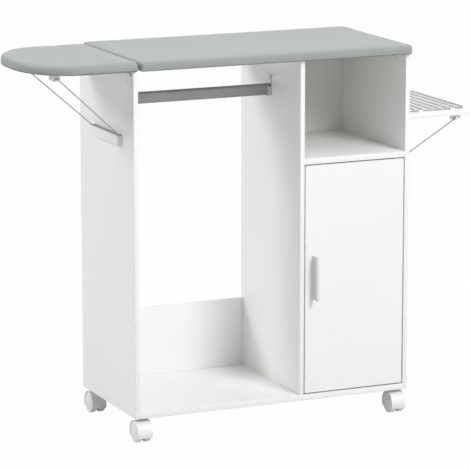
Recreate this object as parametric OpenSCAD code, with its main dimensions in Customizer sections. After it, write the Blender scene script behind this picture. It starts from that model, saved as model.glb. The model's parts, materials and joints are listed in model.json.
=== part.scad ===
// Ironing board cabinet on castors, with a fold-out board on the left and an iron shelf on the right.
// Sizes are in millimetres. The frame's origin is on the floor, under the middle of the whole object.
// Inside the file X runs from the left side panel's outer face, Y from the panels' front edges and
// Z from the panels' bottom edges.

/* [Cabinet] */
// Width across the two side panels
cabinet_w = 750; // [700:1:820]
// Depth of the upright panels
cabinet_d = 360; // [340:1:400]
// Height of the upright panels
panel_h = 868; // [840:1:900]
// Thickness of the upright panels
upright_t = 12; // [10:0.5:16]
// Thickness of the bottom, the fixed shelf and the worktop board
board_t = 15; // [12:0.5:18]
// Distance from the left outer face to the middle panel
divider_x = 446; // [420:1:480]
// Height of the fixed shelf's underside
shelf_z = 605; // [560:1:640]
// Height of the loose shelf's underside in the cupboard
inner_shelf_z = 300; // [150:1:450]
// How far the loose shelf stands back from the front edge
inner_shelf_setback = 40; // [30:1:80]
// Thickness of the back sheet behind the right column
back_t = 3; // [2:0.5:5]
// Height of the low back board behind the hanging space
low_back_h = 180; // [100:1:260]

/* [Worktop] */
// Overhang of the worktop past the front edges
top_front = 18; // [10:1:30]
// Overhang of the worktop past the back edges
top_back = 24; // [10:1:40]
// Overhang of the worktop past the right side panel
top_right = 4; // [2:0.5:8]
// Gap between the worktop and the fold-out board
top_gap = 4; // [3:0.5:8]
// How far the gap's left side lies inside the left panel's outer face
top_seat = 10.5; // [8:0.5:11]
// Thickness of the padding above the boards
pad_top = 9; // [6:0.5:14]
// Thickness of the padding around the boards' edges
pad_side = 5; // [4:0.5:8]
// Radius of the pads' upper edge
pad_roll = 9; // [6:0.5:12]
// Radius of the pads' lower edge
pad_hem = 3; // [2:0.5:4]
// Height of the pads' crown
pad_crown = 1; // [0.5:0.1:2]
// Radius of the worktop's corners seen from above
pad_corner = 14; // [12:1:20]

/* [Fold-out board] */
// Reach of the fold-out board past the left side panel
nose_reach = 260; // [236:1:300]
// Length of the rounded nose
nose_len = 144; // [110:1:180]
// Fullness of the nose, where 2 is an ellipse
nose_power = 2.4; // [2:0.1:3]
// How much further back the worktop reaches than the fold-out board
wing_narrow = 30; // [0:1:60]
// Clearance between the fold-out board and the panel's top edge
seat_gap = 0.3; // [0.2:0.1:0.5]

/* [Iron shelf] */
// Distance from the panels' top down to the iron shelf's underside
iron_shelf_drop = 169; // [130:1:210]
// Length of the iron shelf
iron_shelf_l = 220; // [200:1:260]
// Thickness of the iron shelf
iron_shelf_t = 12; // [9:0.5:15]
// Setback of the iron shelf from the front and back edges
iron_shelf_inset = 13; // [8:1:30]
// Gap between the iron shelf and the right side panel
iron_shelf_gap = 2; // [1.5:0.5:4]
// Diameter of the iron rest's wire
rest_wire_d = 4; // [4:0.5:5]
// Diameter of the wires between the iron rest's long sides
rest_bar_d = 3; // [2:0.5:3.5]
// Length of the iron rest across the shelf
rest_l = 160; // [140:1:180]
// Setback of the iron rest from the shelf's front and back edges
rest_inset = 24; // [15:1:40]
// Number of wires between the iron rest's two long sides
rest_wires = 6; // [4:1:8]
// Height of the saddles under the iron rest
saddle_h = 2; // [1.5:0.5:4]

/* [Stays] */
// Diameter of the stays' wire
stay_wire_d = 3; // [2.5:0.5:4]
// Distance between the two legs of a stay at its bar
stay_span = 189; // [170:1:196]
// How much further out a leg's toe end lies than its bar end
stay_splay = 30; // [20:1:34]
// Radius of the stays' bends
stay_bend = 4; // [3.5:0.5:6]
// Length of the bent toes that sit in the clips
stay_toe = 14; // [12:1:20]
// Distance from the left panel to the toes of the left stay
left_stay_reach = 179; // [168:1:188]
// Distance from the right panel to the toes of the right stay
right_stay_reach = 162; // [152:1:176]
// Distance from the panels' top down to the left ledge's top
left_ledge_drop = 167; // [153:1:188]
// Distance from the iron shelf's underside down to the right ledge's top
right_ledge_drop = 120.5; // [104:0.5:130]
// Height of the ledges
ledge_h = 27; // [20:1:32]
// How far the ledges stand off the panels
ledge_depth = 11.5; // [10:0.5:13]
// Depth of the stay's axis below the ledge's top
ledge_groove = 2; // [1.5:0.5:3]
// Distance from the panel to the stay's axis
stay_axis_off = 6.5; // [5.5:0.5:7]
// Clearance round the wire in the ledges and the clips
wire_clear = 0.3; // [0.2:0.05:0.5]
// Height of the clips under the boards
clip_h = 20; // [18:1:24]
// Length of the clips
clip_l = 38; // [36:1:44]
// Length of the clips' screw ears
clip_ear = 7; // [6:0.5:8]
// Thickness of the clips
clip_w = 12; // [10:1:16]
// Depth of the toes' axis below the boards
clip_drop = 14; // [13.5:0.5:16]

/* [Hinges] */
// Distance of the fold axes from the panel and from the board's underside
hinge_off = 8; // [7:0.5:10]
// Length of a hinge along its pin
hinge_l = 32; // [26:1:40]
// Distance from the fold-out board's sides to the middles of its hinges
hinge_inset = 48; // [42:1:66]
// Distance from the iron shelf's sides to the middles of its hinges
iron_hinge_inset = 29; // [20:1:48]
// Thickness of the hinge leaves
leaf_t = 1.5; // [1.2:0.1:2]
// Width of the hinge leaves on the wood
leaf_w = 26; // [22:1:32]
// Diameter of the hinge knuckles
knuckle_d = 6; // [5:0.5:7]
// Diameter of the hinge pins
hinge_pin_d = 3; // [2.5:0.1:3.5]
// Gap between two knuckles
knuckle_gap = 0.3; // [0.2:0.1:0.5]
// Radial clearance of a pin in its bore
pin_clear = 0.05; // [0.03:0.01:0.08]

/* [Door] */
// Thickness of the door
door_t = 15; // [15:0.5:18]
// Gap round the door
door_gap = 3; // [3:0.1:4]
// Distance of the door's pivots from its front face and its edge
pivot_inset = 6.5; // [6:0.1:6.8]
// Diameter of the door's pivot pins
pivot_d = 5; // [4:0.5:5.5]
// Wall of the bushes round the pivot pins
bush_wall = 1; // [0.8:0.1:1.2]
// Depth of the bushes in the door
bush_l = 12; // [8:1:20]
// Overall length of the handle
handle_l = 112; // [90:1:150]
// Width of the handle
handle_w = 7; // [6:0.5:14]
// How far the handle stands off the door
handle_out = 28; // [24:1:36]
// Thickness of the handle's grip
handle_grip = 9; // [7:0.5:12]
// Distance from the door's left edge to the handle's middle
handle_from_edge = 22; // [15:1:40]
// Height of the handle's middle above the panels' bottom edge
handle_z = 316; // [250:1:400]

/* [Hanging rail] */
// Height of the rail's section
rail_h = 30; // [25:1:34]
// Width of the rail's section
rail_w = 15; // [12:1:18]
// Wall of the rail
rail_wall = 1.2; // [1:0.1:2]
// Distance from the panels' top down to the rail's middle
rail_drop = 96; // [72:1:128]
// Wall of the rail's brackets
bracket_wall = 2; // [1.5:0.5:3]
// Depth of the rail's brackets along the rail
bracket_l = 12; // [8:1:18]
// Height of a bracket's lug above the rail
bracket_lug = 18; // [14:1:24]

/* [Castors] */
// Height of the panels' bottom edges above the floor
castor_h = 64; // [60:1:75]
// Diameter of the wheels
wheel_d = 54; // [48:1:56]
// Width over a castor's two wheels
castor_w = 39; // [34:1:44]
// Distance of a castor's swivel axis from the side
castor_inset_x = 24; // [22:1:30]
// Distance of a castor's swivel axis from the front or back edge
castor_inset_y = 38; // [32:1:50]
// Distance from the swivel axis to the wheels' axle
castor_trail = 14; // [10:1:16]
// Diameter of the axles
axle_d = 5; // [4:0.5:6]
// Thickness of the middle web of a castor's hood
hood_web = 9; // [8:0.5:10]
// Thickness of a castor's hood over the wheels
hood_t = 1.6; // [1.4:0.1:2]
// Gap between a wheel and its hood
wheel_gap = 0.6; // [0.5:0.1:1]
// Diameter of the kingpin
kingpin_d = 8; // [7:0.5:9]
// Thickness of the castor plate
plate_t = 2.5; // [2:0.5:3]
// Width of the castor plate across the cabinet
plate_w = 32; // [30:1:34]
// Length of the castor plate from front to back
plate_l = 38; // [36:1:44]

/* [Fasteners] */
// Diameter of a wood screw's shank
screw_d = 3; // [2.5:0.1:3.5]
// Diameter of a wood screw's head
screw_head_d = 6; // [5:0.5:7]
// Height of a wood screw's head
screw_head_h = 1.6; // [1.2:0.1:2]
// Length of a wood screw's shank
screw_l = 10; // [9:0.5:11]
// Diameter of the loose shelf's pegs
peg_d = 5; // [4:0.5:6]
// Length of the pegs
peg_l = 16; // [14:0.5:18]
// Depth of the pegs in the panels
peg_depth = 7.5; // [6:0.5:8]
// Distance of the front pegs from the loose shelf's front edge
peg_front = 40; // [25:1:60]
// Distance of the back pegs from the panels' back edges
peg_back = 80; // [50:1:120]
// Diameter of the cam locks
cam_d = 15; // [12:1:15]
// Distance of the cam locks in the bottom from its front and back edges
cam_row = 90; // [70:1:120]
// Distance of the cam locks in the fixed shelf from its front and back edges
shelf_cam_row = 60; // [40:1:90]
// Distance of the cam locks from the side panels
cam_side = 30; // [20:1:40]
// Distance of the bottom's cam locks from the middle panel
cam_divider = 18; // [12:1:30]
// Distance of the corner blocks' middles from the front and back edges
block_row = 55; // [40:1:80]
// Distance of the magnetic catch's middle from the middle panel
catch_side = 40; // [30:1:80]
// Size of the corner blocks under the worktop
block_size = 20; // [18:1:26]

/* [Hidden] */

$fn = 48;
eps = 0.01;

// Places that several pieces share
divider_right = divider_x + upright_t;
right_inner = cabinet_w - upright_t;
shelf_top = shelf_z + board_t;
column_w = right_inner - divider_right;
hang_w = divider_x - upright_t;
mid_y = cabinet_d / 2;
top_left_x = top_seat + top_gap;
top_right_x = cabinet_w + top_right;
top_front_y = -top_front;
top_back_y = cabinet_d + top_back;
pad_h = board_t + pad_top;
wing_back_y = top_back_y - wing_narrow;
wing_mid_y = (top_front_y + wing_back_y) / 2;
wing_half = (wing_back_y - top_front_y) / 2;
wing_z = panel_h + seat_gap;
iron_x = cabinet_w + iron_shelf_gap;
iron_end_x = iron_x + iron_shelf_l;
iron_shelf_z = panel_h - iron_shelf_drop;
iron_top_z = iron_shelf_z + iron_shelf_t;

// The frame's origin, under the middle of the whole object's box
frame_x = (iron_end_x - nose_reach) / 2;
frame_y = (top_back_y - handle_out) / 2;

module in_frame() translate([-frame_x, -frame_y, castor_h]) children();

// Fasteners

module wood_screw() {
    translate([0, 0, -screw_l]) cylinder(d = screw_d, h = screw_l + eps);
    cylinder(d1 = screw_head_d, d2 = screw_head_d * 0.6, h = screw_head_h);
}

module pilot() translate([0, 0, -screw_l - 0.5]) cylinder(d = screw_d + 0.1, h = screw_l + 6);

module through_hole() translate([0, 0, -upright_t - 1]) cylinder(d = screw_d + 0.1, h = upright_t + 2);

// Panels

module upright(x, height) {
    translate([x, 0, 0]) cube([upright_t, cabinet_d, height]);
}

module left_side_panel() in_frame() color("whitesmoke") difference() {
    upright(0, panel_h);
    at_left_leaf_screws() pilot();
    at_ledge_screws(0, left_ledge_z, 1) through_hole();
    at_block_screws(upright_t, 1) pilot();
    at_bracket_screw(upright_t, 1) pilot();
}

module middle_panel() in_frame() color("whitesmoke") difference() {
    translate([0, 0, board_t]) upright(divider_x, panel_h - board_t);
    at_bracket_screw(divider_x, -1) pilot();
    at_block_screws(divider_right, 1) pilot();
    at_shelf_pins(divider_right, 1) peg_hole();
}

module right_side_panel() in_frame() color("whitesmoke") difference() {
    upright(right_inner, panel_h);
    at_right_leaf_screws() pilot();
    at_ledge_screws(cabinet_w, right_ledge_z, -1) through_hole();
    at_block_screws(right_inner, -1) pilot();
    at_shelf_pins(right_inner, -1) peg_hole();
}

module bottom_panel() in_frame() color("whitesmoke") difference() {
    translate([upright_t, 0, 0]) cube([cabinet_w - 2 * upright_t, cabinet_d, board_t]);
    at_bottom_cams() cam_pocket();
    at_castors() at_plate_screws() pilot();
    translate([pivot_x, pivot_inset, board_t]) pivot_hole();
}

module fixed_shelf() in_frame() color("whitesmoke") difference() {
    translate([divider_right, 0, shelf_z]) cube([column_w, cabinet_d, board_t]);
    at_shelf_cams() cam_pocket();
    translate([pivot_x, pivot_inset, shelf_z]) mirror([0, 0, 1]) pivot_hole();
    at_catch_screws() pilot();
}

module back_panel() in_frame() color("gainsboro")
    translate([divider_x + 2, cabinet_d, 2]) cube([column_w + 2 * upright_t - 4, back_t, panel_h - 4]);

module low_back_board() in_frame() color("whitesmoke")
    translate([upright_t, cabinet_d - upright_t, board_t]) cube([hang_w, upright_t, low_back_h]);

module inner_shelf() in_frame() color("whitesmoke")
    translate([divider_right + 0.5, inner_shelf_setback, inner_shelf_z])
        cube([column_w - 1, cabinet_d - inner_shelf_setback - 1, board_t]);

// Pegs that carry the loose shelf

module at_shelf_pins(x, side) {
    for (y = [inner_shelf_setback + peg_front, cabinet_d - peg_back])
        translate([x, y, inner_shelf_z - peg_d / 2 - 0.1]) rotate([0, side * 90, 0]) children();
}

module peg_hole() translate([0, 0, -peg_depth - 0.5]) cylinder(d = peg_d + 0.1, h = peg_depth + 1);

module peg() translate([0, 0, -peg_depth]) cylinder(d = peg_d, h = peg_l);

module shelf_pins() in_frame() color("silver") {
    at_shelf_pins(divider_right, 1) peg();
    at_shelf_pins(right_inner, -1) peg();
}

// Cam locks that draw the boards together

module at_bottom_cams() {
    for (x = [upright_t + cam_side, divider_x - cam_divider, divider_right + cam_divider, right_inner - cam_side])
        for (y = [cam_row, cabinet_d - cam_row]) translate([x, y, 0]) children();
}

module at_shelf_cams() {
    for (x = [divider_right + cam_side, right_inner - cam_side])
        for (y = [shelf_cam_row, cabinet_d - shelf_cam_row]) translate([x, y, shelf_z]) children();
}

module cam_pocket() translate([0, 0, -1]) cylinder(d = cam_d + 0.1, h = board_t - 2);

module cam_lock() difference() {
    cylinder(d = cam_d, h = board_t - 3.5);
    translate([0, 0, -eps]) cylinder(d = cam_d / 3, h = 3);
    for (a = [0, 90]) rotate([0, 0, a]) translate([-cam_d * 0.3, -cam_d * 0.04, -eps])
        cube([cam_d * 0.6, cam_d * 0.08, 2]);
}

module cam_locks() in_frame() color("silver") {
    at_bottom_cams() cam_lock();
    at_shelf_cams() cam_lock();
}

// Corner blocks between the uprights and the worktop board

module at_blocks() {
    for (y = [block_row, cabinet_d - block_row]) {
        translate([upright_t, y, panel_h]) children();
        translate([divider_right, y, panel_h]) children();
        translate([right_inner, y, panel_h]) mirror([1, 0, 0]) children();
    }
}

module at_block_screws(x, side) {
    for (y = [block_row, cabinet_d - block_row])
        translate([x + side * 3, y, panel_h - block_size * 0.55]) rotate([0, side * 90, 0]) children();
}

module at_block_top_screws() {
    at_blocks() translate([block_size * 0.6, 0, -3]) mirror([0, 0, 1]) children();
}

module corner_blocks() in_frame() color("white") difference() {
    at_blocks() translate([0, block_size / 2, 0]) rotate([90, 0, 0]) linear_extrude(block_size)
        polygon([[0, 0], [block_size, 0], [block_size, -3], [3, -3], [3, -block_size], [0, -block_size]]);
    at_block_screws(upright_t, 1) pilot();
    at_block_screws(divider_right, 1) pilot();
    at_block_screws(right_inner, -1) pilot();
    at_block_top_screws() pilot();
}

// Worktop: a board with a padded cover drawn round its edges

function arc_points(cx, cy, r, from, to, steps) =
    [for (i = [0:steps]) let (a = from + (to - from) * i / steps) [cx + r * cos(a), cy + r * sin(a)]];

function main_outline(inset) = let (
    x0 = top_left_x + inset, x1 = top_right_x - inset,
    y0 = top_front_y + inset, y1 = top_back_y - inset,
    r = max(pad_corner - inset, 3)
) concat(
    arc_points(x0 + r, y0 + r, r, 180, 270, 6), arc_points(x1 - r, y0 + r, r, 270, 360, 6),
    arc_points(x1 - r, y1 - r, r, 0, 90, 6), arc_points(x0 + r, y1 - r, r, 90, 180, 6)
);

// Height and inset of each level of a pad: a tucked hem, an upright side, a rolled edge and a crown
function pad_levels() = concat(
    [for (a = [0:30:90]) [pad_hem * (1 - cos(a)), pad_hem * (1 - sin(a))]],
    [for (a = [0:18:90]) [pad_h - pad_crown - pad_roll * (1 - sin(a)), pad_roll * (1 - cos(a))]],
    [[pad_h, 50]]
);

module main_board_shape(z0, height) {
    translate([0, 0, z0]) linear_extrude(height) polygon(main_outline(pad_side));
}

module main_board() in_frame() color("burlywood") difference() {
    main_board_shape(panel_h, board_t);
    at_block_top_screws() pilot();
}

module main_pad() in_frame() color("lightslategray") difference() {
    hull() for (level = pad_levels())
        translate([0, 0, panel_h + level[0]]) linear_extrude(eps) polygon(main_outline(level[1]));
    main_board_shape(panel_h - 1, board_t + 1);
}

// Fold-out board: the same make, with a rounded nose

function wing_outline(inset) = let (
    bx = top_seat - inset, y0 = top_front_y + inset, y1 = wing_back_y - inset,
    root_x = nose_len - nose_reach, half = wing_half - inset, len = nose_len - inset,
    r = max(pad_corner - inset, 3)
) concat(
    [for (i = [0:28]) let (a = 90 + 180 * i / 28)
        [root_x - len * pow(abs(cos(a)), 2 / nose_power),
         wing_mid_y + half * sign(sin(a)) * pow(abs(sin(a)), 2 / nose_power)]],
    arc_points(bx - r, y0 + r, r, 270, 360, 6), arc_points(bx - r, y1 - r, r, 0, 90, 6)
);

module wing_board_shape(z0, height) {
    translate([0, 0, z0]) linear_extrude(height) polygon(wing_outline(pad_side));
}

module extension_board() in_frame() color("burlywood") difference() {
    wing_board_shape(wing_z, board_t);
    at_wing_leaf_screws() pilot();
    at_left_clips() at_clip_screws() pilot();
}

module extension_pad() in_frame() color("lightslategray") difference() {
    hull() for (level = pad_levels())
        translate([0, 0, wing_z + level[0]]) linear_extrude(eps) polygon(wing_outline(level[1]));
    wing_board_shape(wing_z - 1, board_t + 1);
}

// Butt hinges with cranked leaves. Local X points out from the panel and Z up; the pin lies along Y.
// The fixed leaf hangs down the panel's face and the moving leaf lies along the board's underside.

knuckle_part = (hinge_l - 2 * knuckle_gap) / 3;

module knuckle(y0, length) {
    translate([0, y0, 0]) rotate([-90, 0, 0]) cylinder(d = knuckle_d, h = length);
}

module crank(y0, length, a, b) {
    translate([0, y0 + length, 0]) rotate([90, 0, 0]) linear_extrude(length)
        polygon([a[0], a[1], b[1], b[0]]);
}

// A cranked leaf lies along the face at distance hinge_off below its pin, and is cut by its bore
module leaf(outer) {
    parts = outer ? [-hinge_l / 2, hinge_l / 2 - knuckle_part] : [-knuckle_part / 2];
    bore_d = hinge_pin_d + 2 * pin_clear;
    difference() {
        union() {
            translate([6, -hinge_l / 2, -hinge_off]) cube([leaf_w, hinge_l, leaf_t]);
            for (y0 = parts) {
                knuckle(y0, knuckle_part);
                crank(y0, knuckle_part, [[0, -knuckle_d / 2 + 0.2], [0, 0]],
                    [[8, -hinge_off + eps], [8, -hinge_off + leaf_t]]);
            }
        }
        translate([0, -hinge_l, 0]) rotate([-90, 0, 0]) cylinder(d = bore_d, h = 2 * hinge_l);
        at_leaf_screws() translate([0, 0, -2 * screw_l]) cylinder(d = screw_d + 0.4, h = 4 * screw_l);
    }
}

// Screws of one leaf, entering the wood behind it
module at_leaf_screws() {
    for (y = [-hinge_l / 4, hinge_l / 4])
        translate([6 + leaf_w * (y < 0 ? 0.4 : 0.75), y, -hinge_off + leaf_t]) children();
}

// Places of the hinges: the board's side first, then the panel's side
module at_left_hinges() {
    for (y = [top_front_y + hinge_inset, wing_back_y - hinge_inset])
        translate([-hinge_off, y, wing_z - hinge_off]) children();
}

module at_right_hinges() {
    for (y = [iron_shelf_inset + iron_hinge_inset, cabinet_d - iron_shelf_inset - iron_hinge_inset])
        translate([cabinet_w + hinge_off, y, iron_shelf_z - hinge_off]) children();
}

// Turns that lay a leaf down the panel's face or along the board's underside
module on_left_face() rotate([0, 90, 0]) mirror([0, 0, 1]) children();
module on_right_face() rotate([0, 90, 0]) children();
module under_left_board() rotate([180, 0, 180]) children();
module under_right_board() rotate([180, 0, 0]) children();

module at_left_leaf_screws() at_left_hinges() on_left_face() at_leaf_screws() children();
module at_right_leaf_screws() at_right_hinges() on_right_face() at_leaf_screws() children();
module at_wing_leaf_screws() at_left_hinges() under_left_board() at_leaf_screws() children();
module at_iron_leaf_screws() at_right_hinges() under_right_board() at_leaf_screws() children();

module extension_hinge_fixed_leaves() in_frame() color("silver")
    at_left_hinges() on_left_face() leaf(true);

module extension_hinge_moving_leaves() in_frame() color("silver")
    at_left_hinges() under_left_board() leaf(false);

module iron_shelf_hinge_fixed_leaves() in_frame() color("silver")
    at_right_hinges() on_right_face() leaf(true);

module iron_shelf_hinge_moving_leaves() in_frame() color("silver")
    at_right_hinges() under_right_board() leaf(false);

module hinge_pin() rotate([90, 0, 0]) cylinder(d = hinge_pin_d, h = hinge_l, center = true);

module extension_hinge_pins() in_frame() color("gray") at_left_hinges() hinge_pin();
module iron_shelf_hinge_pins() in_frame() color("gray") at_right_hinges() hinge_pin();

// Wire stays. A stay is bent from one wire: a bar that turns in the ledge's groove, two legs and
// two toes that are bent inwards and snap into the clips under the board.

left_ledge_z = panel_h - left_ledge_drop;
right_ledge_z = iron_shelf_z - right_ledge_drop;
left_axis_x = -stay_axis_off;
left_axis_z = left_ledge_z - ledge_groove;
right_axis_x = cabinet_w + stay_axis_off;
right_axis_z = right_ledge_z - ledge_groove;
left_toe_x = -left_stay_reach;
left_toe_z = wing_z - clip_drop;
right_toe_x = cabinet_w + right_stay_reach;
right_toe_z = iron_shelf_z - clip_drop;
left_stay_l = norm([left_toe_x - left_axis_x, left_toe_z - left_axis_z]);
right_stay_l = norm([right_toe_x - right_axis_x, right_toe_z - right_axis_z]);
left_stay_angle = atan2(left_toe_z - left_axis_z, left_axis_x - left_toe_x);
right_stay_angle = atan2(right_toe_z - right_axis_z, right_toe_x - right_axis_x);

// The straight lengths end inside the bends, which swell a hair as bent wire does
bend_lap = 0.4;
bend_swell = 0.1;

module wire(length) {
    translate([0, 0, -bend_lap]) cylinder(d = stay_wire_d, h = length + 2 * bend_lap, $fn = 24);
}

// The stay lies along local X, with its bar on the local Y axis. The legs spread towards the toes.
module stay(length) {
    lean = atan2(stay_splay, length);
    half = stay_span / 2;
    toe_half = half + stay_splay;
    bar_trim = stay_bend * tan(45 - lean / 2);
    toe_trim = stay_bend * tan(45 + lean / 2);
    translate([0, bar_trim - half, 0]) rotate([-90, 0, 0]) wire(stay_span - 2 * bar_trim);
    for (side = [-1, 1]) scale([1, side, 1]) {
        stay_corner(0, half, 90, lean);
        translate([0, half, 0]) rotate([0, 0, lean]) translate([bar_trim, 0, 0])
            rotate([0, 90, 0]) wire(norm([length, stay_splay]) - bar_trim - toe_trim);
        stay_corner(length, toe_half, lean, -90);
        translate([length, toe_half - toe_trim, 0]) rotate([90, 0, 0])
            wire(stay_toe - toe_trim - bend_lap);
    }
}

// Bend at a corner of the wire, clockwise from one heading to the next
module stay_corner(x, y, from, to) {
    trim = stay_bend * tan((from - to) / 2);
    cx = x - trim * cos(from) + stay_bend * sin(from);
    cy = y - trim * sin(from) - stay_bend * cos(from);
    translate([cx, cy, 0]) rotate([0, 0, to + 90]) rotate_extrude(angle = from - to, $fn = 48)
        translate([stay_bend, 0]) circle(d = stay_wire_d + bend_swell, $fn = 24);
}

module left_stay() in_frame() color("darkgray")
    translate([left_axis_x, wing_mid_y, left_axis_z]) mirror([1, 0, 0])
        rotate([0, -left_stay_angle, 0]) stay(left_stay_l);

module right_stay() in_frame() color("darkgray")
    translate([right_axis_x, mid_y, right_axis_z])
        rotate([0, -right_stay_angle, 0]) stay(right_stay_l);

// Ledges on the side panels, with a groove that the stay's bar turns in

ledge_l = stay_span - 2 * stay_bend - 1;

module ledge_profile() {
    r = 2.5;
    difference() {
        union() {
            square([ledge_depth - r, ledge_h]);
            translate([0, r]) square([ledge_depth, ledge_h - r - 1]);
            translate([ledge_depth - r, r]) circle(r);
            translate([0, ledge_h - 2]) square([ledge_depth - 1, 2]);
            translate([ledge_depth - 1, ledge_h - 1]) circle(1);
        }
        translate([stay_axis_off, ledge_h - ledge_groove]) circle(d = stay_wire_d + 2 * wire_clear);
        translate([stay_axis_off - stay_wire_d / 2 - wire_clear, ledge_h - ledge_groove])
            square([stay_wire_d + 2 * wire_clear, ledge_h]);
    }
}

// Local X points out from the panel; the ledge's top is at local Z 0
module ledge() difference() {
    translate([0, ledge_l / 2, -ledge_h]) rotate([90, 0, 0]) linear_extrude(ledge_l) ledge_profile();
    for (y = [-ledge_l / 3, ledge_l / 3]) translate([-eps, y, -ledge_h / 2 - 3])
        rotate([0, 90, 0]) cylinder(d = screw_d + 0.1, h = ledge_depth - 3);
}

// Screws from inside the cabinet, through the panel into the ledge
module at_ledge_screws(x, top_z, side) {
    y_mid = side > 0 ? wing_mid_y : mid_y;
    for (y = [-ledge_l / 3, ledge_l / 3])
        translate([x + side * upright_t, y_mid + y, top_z - ledge_h / 2 - 3])
            rotate([0, side * 90, 0]) children();
}

module long_screw() {
    length = upright_t + ledge_depth - 4;
    translate([0, 0, -length]) cylinder(d = screw_d, h = length + eps);
    cylinder(d1 = screw_head_d, d2 = screw_head_d * 0.6, h = screw_head_h);
}

module left_stay_ledge() in_frame() color("white")
    translate([0, wing_mid_y, left_ledge_z]) mirror([1, 0, 0]) ledge();

module right_stay_ledge() in_frame() color("white")
    translate([cabinet_w, mid_y, right_ledge_z]) ledge();

// Clips under the boards. Their mouths open outwards, the way the toes leave when the board folds.
// Local X points out from the cabinet, and local Z 0 is the board's underside.

// Slope of the clips' mouths below the level, how far they flare, and the neck at the wire
clip_fork = 24;
clip_flare = 2.2;
clip_neck = 0.12;
clip_foot = 3;
clip_inner = (clip_l - 2 * clip_ear) * 0.375;
clip_outer = clip_l - 2 * clip_ear - clip_inner;

module clip_profile() {
    hole_r = stay_wire_d / 2 + wire_clear;
    r = 5;
    difference() {
        union() {
            translate([-clip_inner - clip_ear, -clip_foot]) square([clip_l, clip_foot]);
            translate([-clip_inner, r - clip_h]) square([clip_inner + clip_outer, clip_h - r]);
            translate([r - clip_inner, -clip_h]) square([clip_inner + clip_outer - 2 * r, r]);
            for (x = [r - clip_inner, clip_outer - r]) translate([x, r - clip_h]) circle(r);
        }
        translate([0, -clip_drop]) circle(hole_r);
        translate([0, -clip_drop]) rotate(-clip_fork) polygon([
            [0, clip_neck - hole_r], [clip_l, -hole_r - clip_flare],
            [clip_l, hole_r + clip_flare], [0, hole_r - clip_neck],
        ]);
    }
}

module clip() difference() {
    translate([0, clip_w / 2, 0]) rotate([90, 0, 0]) linear_extrude(clip_w) clip_profile();
    at_clip_screws() translate([0, 0, -40]) cylinder(d = screw_d + 0.4, h = 60);
}

module at_clip_screws() {
    for (x = [clip_outer + clip_ear / 2, -clip_inner - clip_ear / 2])
        translate([x, 0, -clip_foot]) mirror([0, 0, 1]) children();
}

clip_y = stay_span / 2 + stay_splay - clip_w / 2 - stay_wire_d / 2 - stay_bend;

module at_left_clips() for (side = [-1, 1])
    translate([left_toe_x, wing_mid_y + side * clip_y, wing_z]) mirror([1, 0, 0]) children();

module at_right_clips() for (side = [-1, 1])
    translate([right_toe_x, mid_y + side * clip_y, iron_shelf_z]) children();

module extension_clips() in_frame() color("white") at_left_clips() clip();
module iron_shelf_clips() in_frame() color("white") at_right_clips() clip();

// Iron shelf and its wire rest

module iron_shelf() in_frame() color("whitesmoke") difference() {
    translate([iron_x, iron_shelf_inset, iron_shelf_z])
        cube([iron_shelf_l, cabinet_d - 2 * iron_shelf_inset, iron_shelf_t]);
    at_iron_leaf_screws() pilot();
    at_right_clips() at_clip_screws() pilot();
    at_saddles() translate([0, 0, -6]) cylinder(d = 3.1, h = 7);
}

rest_x0 = iron_x + 12;
rest_x1 = rest_x0 + rest_l;
rest_y0 = iron_shelf_inset + rest_inset;
rest_y1 = cabinet_d - iron_shelf_inset - rest_inset;
rest_z = iron_top_z + saddle_h + rest_wire_d / 2;
rest_pitch = rest_l / (rest_wires + 1);

module rest_bar(a, b, d) translate(a) rotate([0, 0, atan2(b[1] - a[1], b[0] - a[0])])
    rotate([0, 90, 0]) cylinder(d = d, h = norm(b - a), $fn = 24);

module rest_corner(x, y, turn) translate([x, y, rest_z]) rotate([0, 0, turn])
    rotate_extrude(angle = 90, $fn = 48) translate([10, 0]) circle(d = rest_wire_d, $fn = 24);

module iron_rest() in_frame() color("gray") {
    x0 = rest_x0 + 10;
    x1 = rest_x1 - 10;
    y0 = rest_y0 + 10;
    y1 = rest_y1 - 10;
    for (y = [rest_y0, rest_y1]) rest_bar([x0, y, rest_z], [x1, y, rest_z], rest_wire_d);
    for (x = [rest_x0, rest_x1]) rest_bar([x, y0, rest_z], [x, y1, rest_z], rest_wire_d);
    rest_corner(x0, y0, 180);
    rest_corner(x1, y0, 270);
    rest_corner(x1, y1, 0);
    rest_corner(x0, y1, 90);
    for (i = [1:rest_wires]) let (x = rest_x0 + rest_pitch * i)
        rest_bar([x, rest_y0, rest_z], [x, rest_y1, rest_z], rest_bar_d);
}

module at_saddles() {
    for (x = [rest_x0 + 1.5 * rest_pitch, rest_x1 - 1.5 * rest_pitch])
        for (y = [rest_y0, rest_y1]) translate([x, y, iron_top_z]) children();
}

module saddle() {
    translate([0, 0, -5.5]) cylinder(d = 3, h = 6);
    difference() {
        translate([-6, -5, 0]) cube([12, 10, saddle_h + rest_wire_d / 2]);
        translate([-10, 0, saddle_h + rest_wire_d / 2]) rotate([0, 90, 0])
            cylinder(d = rest_wire_d + 0.1, h = 20, $fn = 24);
    }
}

module iron_rest_saddles() in_frame() color("white") at_saddles() saddle();

// Door on two pivot pins, with bushes in its edges

pivot_x = right_inner - door_gap - pivot_inset;
door_x0 = divider_right + door_gap;
door_x1 = right_inner - door_gap;
door_z0 = board_t + door_gap;
door_z1 = shelf_z - door_gap;
bush_d = pivot_d + 2 * bush_wall + 0.1;

module pivot_hole() translate([0, 0, -8]) cylinder(d = pivot_d + 0.1, h = 9);

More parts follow.
